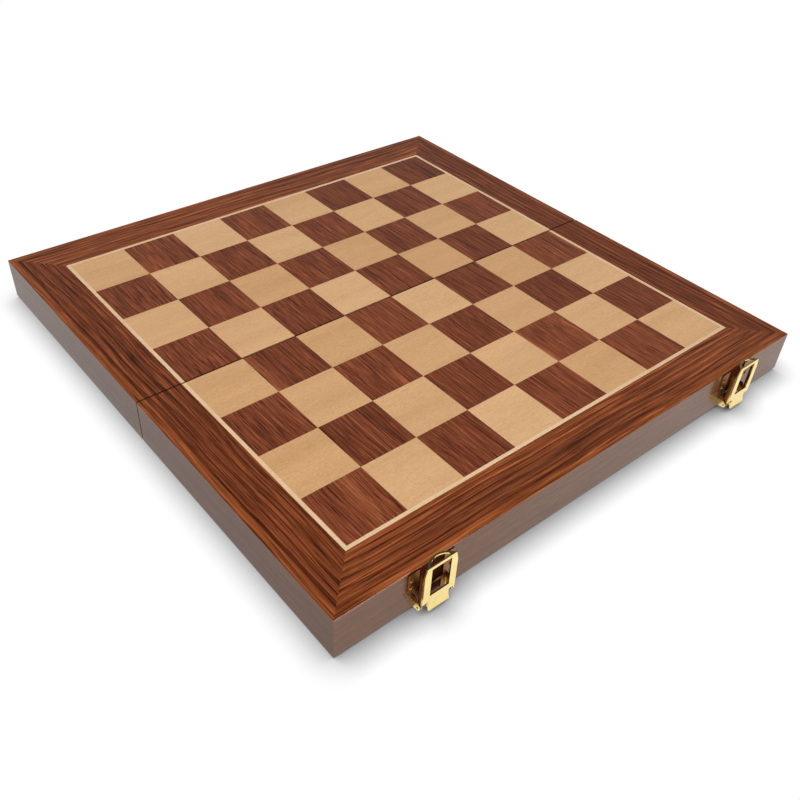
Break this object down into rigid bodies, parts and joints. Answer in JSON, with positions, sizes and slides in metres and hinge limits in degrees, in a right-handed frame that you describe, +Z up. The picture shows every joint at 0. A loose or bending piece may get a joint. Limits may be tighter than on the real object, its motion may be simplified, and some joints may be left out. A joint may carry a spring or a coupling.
{
  "type": "folding chess set",
  "caption": "Hinged wooden chess case that opens flat into an inlaid playing board, with two brass hasps and stored chessmen in fitted trays.",
  "frame": {"origin": "middle of the bounding box, at the lowest point: the plane the open board rests on, under its seam", "axes": "+X along the seam and the hinge pins, +Y from the tray with the hasps to the tray with the strikes, +Z up out of the playing surface"},
  "size_m": [0.381, 0.3958, 0.0362],
  "materials": {
    "walnut_case": "gloss lacquer",
    "walnut_border": "gloss lacquer",
    "walnut_square": "gloss lacquer",
    "maple_square": "gloss lacquer",
    "maple_string": "gloss lacquer",
    "plywood_panel": "sanded",
    "boxwood_men": "satin wax",
    "ebonised_men": "satin wax",
    "brass_latch": "polished",
    "brass_hinge": "polished",
    "brass_nails": "polished",
    "brass_pins": "satin",
    "green_felt": "felt",
    "flocked_insert": "flocked",
    "rim_pad": "suede"
  },
  "bodies": {
    "near_tray": {"hasp_pins": "brass_pins", "hinge_pins": "brass_pins", "latch_plate_left": "brass_latch", "latch_plate_nails": "brass_nails", "latch_plate_right": "brass_latch", "light_base_felts": "green_felt", "light_bishops": "boxwood_men", "light_king": "boxwood_men", "light_knights": "boxwood_men", "light_pawns": "boxwood_men", "light_queen": "boxwood_men", "light_rooks": "boxwood_men", "near_border_end": "walnut_border", "near_border_left": "walnut_border", "near_border_right": "walnut_border", "near_dark_squares": "walnut_square", "near_felt_lining": "green_felt", "near_hinge_leaf_left": "brass_hinge", "near_hinge_leaf_right": "brass_hinge", "near_hinge_nails": "brass_nails", "near_insert_rails": "flocked_insert", "near_insert_ribs": "flocked_insert", "near_left_wall": "walnut_case", "near_light_squares": "maple_square", "near_outer_wall": "walnut_case", "near_right_wall": "walnut_case", "near_rim_pads": "rim_pad", "near_seam_wall": "walnut_case", "near_stringing": "maple_string", "near_top_panel": "plywood_panel"},
    "far_tray": {"dark_base_felts": "green_felt", "dark_bishops": "ebonised_men", "dark_king": "ebonised_men", "dark_knights": "ebonised_men", "dark_pawns": "ebonised_men", "dark_queen": "ebonised_men", "dark_rooks": "ebonised_men", "far_border_end": "walnut_border", "far_border_left": "walnut_border", "far_border_right": "walnut_border", "far_dark_squares": "walnut_square", "far_felt_lining": "green_felt", "far_hinge_leaf_left": "brass_hinge", "far_hinge_leaf_right": "brass_hinge", "far_hinge_nails": "brass_nails", "far_insert_rails": "flocked_insert", "far_insert_ribs": "flocked_insert", "far_left_wall": "walnut_case", "far_light_squares": "maple_square", "far_outer_wall": "walnut_case", "far_right_wall": "walnut_case", "far_rim_pads": "rim_pad", "far_seam_wall": "walnut_case", "far_stringing": "maple_string", "far_top_panel": "plywood_panel", "strike_plate_left": "brass_latch", "strike_plate_nails": "brass_nails", "strike_plate_right": "brass_latch"},
    "hasp_left": {"hasp_left": "brass_latch"},
    "hasp_right": {"hasp_right": "brass_latch"}
  },
  "joints": [
    {"name": "board_fold", "type": "hinge", "parent": "near_tray", "child": "far_tray", "pos_m": [0, 0.002, 0.0012], "axis": [-1, 0, 0], "range_deg": [0, 180]},
    {"name": "hasp_left_swing", "type": "hinge", "parent": "near_tray", "child": "hasp_left", "pos_m": [-0.1308, -0.1945, 0.00615], "axis": [1, 0, 0], "range_deg": [-6, 180]},
    {"name": "hasp_right_swing", "type": "hinge", "parent": "near_tray", "child": "hasp_right", "pos_m": [0.1308, -0.1945, 0.00615], "axis": [1, 0, 0], "range_deg": [-6, 180]}
  ]
}
